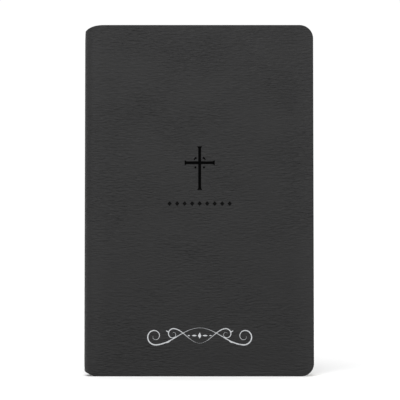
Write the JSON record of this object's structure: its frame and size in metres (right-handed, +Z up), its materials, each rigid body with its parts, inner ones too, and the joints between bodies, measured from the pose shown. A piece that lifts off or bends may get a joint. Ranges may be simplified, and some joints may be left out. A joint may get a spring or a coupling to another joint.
{
  "type": "leather-bound bible",
  "caption": "Slim upright Bible in charcoal leather with a stamped cross, a row of lozenges and a silver scroll; covers, endpapers and signatures open from the spine.",
  "frame": {"origin": "centre of the book's bounding box, on the level of the tail edge it stands on", "axes": "+Z up from tail to head, +X from the spine to the fore-edge, -Y out of the front cover"},
  "size_m": [0.1404, 0.023, 0.215],
  "materials": {
    "cover_leather": "fine-grained bonded leather, satin",
    "cover_board": "grey-brown pasteboard, matt",
    "endpaper": "cream endpaper, matt",
    "black_foil": "black stamping foil, satin",
    "dark_stamping": "dark pigment foil in a shallow stamping",
    "silver_foil": "bright silver stamping foil",
    "stiffener_card": "thin spine card, matt",
    "kraft_paper": "kraft paper tube",
    "mull_cloth": "open-weave mull cloth",
    "binding_glue": "dried binding glue",
    "linen_thread": "waxed linen thread",
    "band_cloth": "striped woven band, black and white",
    "bible_paper": "thin off-white printing paper, matt"
  },
  "bodies": {
    "front_cover": {"front_cover_leather": "cover_leather", "front_board": "cover_board", "front_pastedown": "endpaper", "cross_foil": "black_foil", "title_ornament": "dark_stamping", "silver_flourish": "silver_foil"},
    "back_cover": {"back_cover_leather": "cover_leather", "back_board": "cover_board", "back_pastedown": "endpaper"},
    "spine": {"spine_leather": "cover_leather", "spine_stiffener": "stiffener_card", "spine_hollow": "kraft_paper", "spine_mull": "mull_cloth", "spine_glue": "binding_glue", "sewing_thread": "linen_thread", "head_band": "band_cloth", "tail_band": "band_cloth", "endpaper_folds": "endpaper", "signature_folds": "bible_paper"},
    "front_flyleaf_body": {"front_flyleaf": "endpaper"},
    "back_flyleaf_body": {"back_flyleaf": "endpaper"},
    "leaves_01": {"signature_01": "bible_paper"},
    "leaves_02": {"signature_02": "bible_paper"},
    "leaves_03": {"signature_03": "bible_paper"},
    "leaves_04": {"signature_04": "bible_paper"},
    "leaves_05": {"signature_05": "bible_paper"},
    "leaves_06": {"signature_06": "bible_paper"},
    "leaves_07": {"signature_07": "bible_paper"},
    "leaves_08": {"signature_08": "bible_paper"},
    "leaves_09": {"signature_09": "bible_paper"},
    "leaves_10": {"signature_10": "bible_paper"},
    "leaves_11": {"signature_11": "bible_paper"},
    "leaves_12": {"signature_12": "bible_paper"},
    "leaves_13": {"signature_13": "bible_paper"},
    "leaves_14": {"signature_14": "bible_paper"},
    "leaves_15": {"signature_15": "bible_paper"},
    "leaves_16": {"signature_16": "bible_paper"},
    "leaves_17": {"signature_17": "bible_paper"},
    "leaves_18": {"signature_18": "bible_paper"},
    "leaves_19": {"signature_19": "bible_paper"},
    "leaves_20": {"signature_20": "bible_paper"},
    "leaves_21": {"signature_21": "bible_paper"},
    "leaves_22": {"signature_22": "bible_paper"},
    "leaves_23": {"signature_23": "bible_paper"},
    "leaves_24": {"signature_24": "bible_paper"}
  },
  "joints": [
    {"name": "front_cover_hinge", "type": "hinge", "parent": "spine", "child": "front_cover", "pos_m": [-0.063, -0.0117, 0], "axis": [0, 0, -1], "range_deg": [0, 178]},
    {"name": "back_cover_hinge", "type": "hinge", "parent": "spine", "child": "back_cover", "pos_m": [-0.063, 0.0117, 0], "axis": [0, 0, 1], "range_deg": [0, 178]},
    {"name": "front_flyleaf_bend", "type": "hinge", "parent": "spine", "child": "front_flyleaf_body", "pos_m": [-0.06175, -0.00918, 0], "axis": [0, 0, -1], "range_deg": [0, 103.34]},
    {"name": "back_flyleaf_bend", "type": "hinge", "parent": "spine", "child": "back_flyleaf_body", "pos_m": [-0.06175, 0.00918, 0], "axis": [0, 0, 1], "range_deg": [0, 103.34]},
    {"name": "leaves_01_bend", "type": "hinge", "parent": "spine", "child": "leaves_01", "pos_m": [-0.06075, -0.00863, 0], "axis": [0, 0, -1], "range_deg": [0, 89.1]},
    {"name": "leaves_02_bend", "type": "hinge", "parent": "spine", "child": "leaves_02", "pos_m": [-0.06007, -0.00788, 0], "axis": [0, 0, -1], "range_deg": [0, 84.57]},
    {"name": "leaves_03_bend", "type": "hinge", "parent": "spine", "child": "leaves_03", "pos_m": [-0.05945, -0.00713, 0], "axis": [0, 0, -1], "range_deg": [0, 79.88]},
    {"name": "leaves_04_bend", "type": "hinge", "parent": "spine", "child": "leaves_04", "pos_m": [-0.05888, -0.00637, 0], "axis": [0, 0, -1], "range_deg": [0, 74.99]},
    {"name": "leaves_05_bend", "type": "hinge", "parent": "spine", "child": "leaves_05", "pos_m": [-0.05835, -0.00562, 0], "axis": [0, 0, -1], "range_deg": [0, 69.88]},
    {"name": "leaves_06_bend", "type": "hinge", "parent": "spine", "child": "leaves_06", "pos_m": [-0.05787, -0.00487, 0], "axis": [0, 0, -1], "range_deg": [0, 64.51]},
    {"name": "leaves_07_bend", "type": "hinge", "parent": "spine", "child": "leaves_07", "pos_m": [-0.05744, -0.00413, 0], "axis": [0, 0, -1], "range_deg": [0, 58.82]},
    {"name": "leaves_08_bend", "type": "hinge", "parent": "spine", "child": "leaves_08", "pos_m": [-0.05706, -0.00337, 0], "axis": [0, 0, -1], "range_deg": [0, 52.73]},
    {"name": "leaves_09_bend", "type": "hinge", "parent": "spine", "child": "leaves_09", "pos_m": [-0.05673, -0.00263, 0], "axis": [0, 0, -1], "range_deg": [0, 46.14]},
    {"name": "leaves_10_bend", "type": "hinge", "parent": "spine", "child": "leaves_10", "pos_m": [-0.05645, -0.00187, 0], "axis": [0, 0, -1], "range_deg": [0, 38.84]},
    {"name": "leaves_11_bend", "type": "hinge", "parent": "spine", "child": "leaves_11", "pos_m": [-0.05623, -0.00112, 0], "axis": [0, 0, -1], "range_deg": [0, 30.47]},
    {"name": "leaves_12_bend", "type": "hinge", "parent": "spine", "child": "leaves_12", "pos_m": [-0.05608, -0.00038, 0], "axis": [0, 0, -1], "range_deg": [0, 20.14]},
    {"name": "leaves_13_bend", "type": "hinge", "parent": "spine", "child": "leaves_13", "pos_m": [-0.05608, 0.00038, 0], "axis": [0, 0, 1], "range_deg": [0, 20.14]},
    {"name": "leaves_14_bend", "type": "hinge", "parent": "spine", "child": "leaves_14", "pos_m": [-0.05623, 0.00112, 0], "axis": [0, 0, 1], "range_deg": [0, 30.47]},
    {"name": "leaves_15_bend", "type": "hinge", "parent": "spine", "child": "leaves_15", "pos_m": [-0.05645, 0.00187, 0], "axis": [0, 0, 1], "range_deg": [0, 38.84]},
    {"name": "leaves_16_bend", "type": "hinge", "parent": "spine", "child": "leaves_16", "pos_m": [-0.05673, 0.00263, 0], "axis": [0, 0, 1], "range_deg": [0, 46.14]},
    {"name": "leaves_17_bend", "type": "hinge", "parent": "spine", "child": "leaves_17", "pos_m": [-0.05706, 0.00337, 0], "axis": [0, 0, 1], "range_deg": [0, 52.73]},
    {"name": "leaves_18_bend", "type": "hinge", "parent": "spine", "child": "leaves_18", "pos_m": [-0.05744, 0.00413, 0], "axis": [0, 0, 1], "range_deg": [0, 58.82]},
    {"name": "leaves_19_bend", "type": "hinge", "parent": "spine", "child": "leaves_19", "pos_m": [-0.05787, 0.00487, 0], "axis": [0, 0, 1], "range_deg": [0, 64.51]},
    {"name": "leaves_20_bend", "type": "hinge", "parent": "spine", "child": "leaves_20", "pos_m": [-0.05835, 0.00562, 0], "axis": [0, 0, 1], "range_deg": [0, 69.88]},
    {"name": "leaves_21_bend", "type": "hinge", "parent": "spine", "child": "leaves_21", "pos_m": [-0.05888, 0.00637, 0], "axis": [0, 0, 1], "range_deg": [0, 74.99]},
    {"name": "leaves_22_bend", "type": "hinge", "parent": "spine", "child": "leaves_22", "pos_m": [-0.05945, 0.00713, 0], "axis": [0, 0, 1], "range_deg": [0, 79.88]},
    {"name": "leaves_23_bend", "type": "hinge", "parent": "spine", "child": "leaves_23", "pos_m": [-0.06007, 0.00788, 0], "axis": [0, 0, 1], "range_deg": [0, 84.57]},
    {"name": "leaves_24_bend", "type": "hinge", "parent": "spine", "child": "leaves_24", "pos_m": [-0.06075, 0.00863, 0], "axis": [0, 0, 1], "range_deg": [0, 89.1]}
  ],
  "couplings": [
    {"joint": "front_flyleaf_bend", "follows": "front_cover_hinge", "ratio": 0.58},
    {"joint": "back_flyleaf_bend", "follows": "back_cover_hinge", "ratio": 0.58},
    {"joint": "leaves_01_bend", "follows": "front_cover_hinge", "ratio": 0.5},
    {"joint": "leaves_02_bend", "follows": "front_cover_hinge", "ratio": 0.47457},
    {"joint": "leaves_03_bend", "follows": "front_cover_hinge", "ratio": 0.44819},
    {"joint": "leaves_04_bend", "follows": "front_cover_hinge", "ratio": 0.42073},
    {"joint": "leaves_05_bend", "follows": "front_cover_hinge", "ratio": 0.39203},
    {"joint": "leaves_06_bend", "follows": "front_cover_hinge", "ratio": 0.36184},
    {"joint": "leaves_07_bend", "follows": "front_cover_hinge", "ratio": 0.32988},
    {"joint": "leaves_08_bend", "follows": "front_cover_hinge", "ratio": 0.29569},
    {"joint": "leaves_09_bend", "follows": "front_cover_hinge", "ratio": 0.25864},
    {"joint": "leaves_10_bend", "follows": "front_cover_hinge", "ratio": 0.21764},
    {"joint": "leaves_11_bend", "follows": "front_cover_hinge", "ratio": 0.17064},
    {"joint": "leaves_12_bend", "follows": "front_cover_hinge", "ratio": 0.11258},
    {"joint": "leaves_13_bend", "follows": "back_cover_hinge", "ratio": 0.11258},
    {"joint": "leaves_14_bend", "follows": "back_cover_hinge", "ratio": 0.17064},
    {"joint": "leaves_15_bend", "follows": "back_cover_hinge", "ratio": 0.21764},
    {"joint": "leaves_16_bend", "follows": "back_cover_hinge", "ratio": 0.25864},
    {"joint": "leaves_17_bend", "follows": "back_cover_hinge", "ratio": 0.29569},
    {"joint": "leaves_18_bend", "follows": "back_cover_hinge", "ratio": 0.32988},
    {"joint": "leaves_19_bend", "follows": "back_cover_hinge", "ratio": 0.36184},
    {"joint": "leaves_20_bend", "follows": "back_cover_hinge", "ratio": 0.39203},
    {"joint": "leaves_21_bend", "follows": "back_cover_hinge", "ratio": 0.42073},
    {"joint": "leaves_22_bend", "follows": "back_cover_hinge", "ratio": 0.44819},
    {"joint": "leaves_23_bend", "follows": "back_cover_hinge", "ratio": 0.47457},
    {"joint": "leaves_24_bend", "follows": "back_cover_hinge", "ratio": 0.5}
  ]
}
